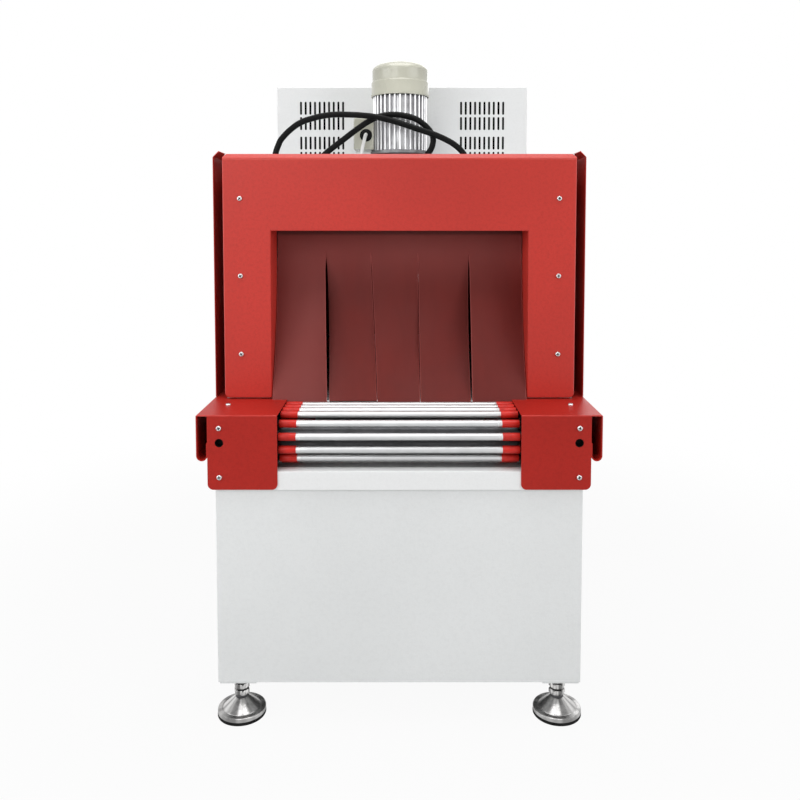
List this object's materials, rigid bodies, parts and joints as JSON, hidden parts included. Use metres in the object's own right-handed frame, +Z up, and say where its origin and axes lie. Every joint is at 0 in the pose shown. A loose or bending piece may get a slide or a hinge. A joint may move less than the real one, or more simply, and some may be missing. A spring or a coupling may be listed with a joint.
{
  "type": "heat shrink tunnel",
  "caption": "Floor-standing heat shrink tunnel: cabinet base on levelling feet, chain-driven rod conveyor, insulated hood with strip curtains at both ends, roof fan motor and control box.",
  "frame": {"origin": "on the floor under the middle of the machine", "axes": "+X to the right seen from the infeed end, +Y along the tunnel from infeed to outfeed, +Z up"},
  "size_m": [0.769, 1.2934, 1.387],
  "materials": {
    "cabinet_white": "fine textured powder coat",
    "sill_white": "satin powder coat",
    "sheet_zinc": "galvanised sheet",
    "foot_steel": "polished stainless",
    "foot_rubber": "matt",
    "drive_steel": "dark oiled",
    "rod_steel": "bright drawn tube",
    "sleeve_red": "soft sleeve",
    "guard_red": "fine textured powder coat",
    "hood_red": "fine textured powder coat",
    "liner_steel": "heat-stained sheet",
    "curtain_red": "coated cloth",
    "motor_aluminium": "ribbed casting",
    "motor_beige": "gloss paint",
    "box_white": "fine textured powder coat",
    "cable_black": "satin sheath",
    "lead_white": "satin sheath"
  },
  "bodies": {
    "root": {"base_floor": "cabinet_white", "base_front_panel": "cabinet_white", "base_rear_panel": "cabinet_white", "base_left_panel": "cabinet_white", "base_right_panel": "cabinet_white", "base_deck": "cabinet_white", "left_rail": "cabinet_white", "right_rail": "cabinet_white", "front_sill": "sill_white", "rear_sill": "sill_white", "hood_roof": "sheet_zinc", "foot_studs": "foot_steel", "foot_cups": "foot_steel", "foot_pads": "foot_rubber", "axle_bearings": "drive_steel", "front_axle": "drive_steel", "rear_axle": "drive_steel", "sprockets": "drive_steel", "left_chain": "drive_steel", "right_chain": "drive_steel", "conveyor_rods": "rod_steel", "rod_sleeves": "sleeve_red", "front_left_guard": "guard_red", "front_right_guard": "guard_red", "rear_left_guard": "guard_red", "rear_right_guard": "guard_red", "left_side_cover": "guard_red", "right_side_cover": "guard_red", "left_side_shield": "guard_red", "right_side_shield": "guard_red", "front_hood_panel": "hood_red", "rear_hood_panel": "hood_red", "front_end_wall": "liner_steel", "rear_end_wall": "liner_steel", "left_hood_wall": "liner_steel", "right_hood_wall": "liner_steel", "front_curtain": "curtain_red", "rear_curtain": "curtain_red", "motor_stand": "motor_aluminium", "motor_body": "motor_aluminium", "motor_cowl": "motor_beige", "terminal_box": "motor_beige", "control_box": "box_white", "cable_glands": "cable_black", "heater_cable": "cable_black", "supply_cable": "cable_black", "motor_lead": "lead_white"}
  },
  "joints": []
}
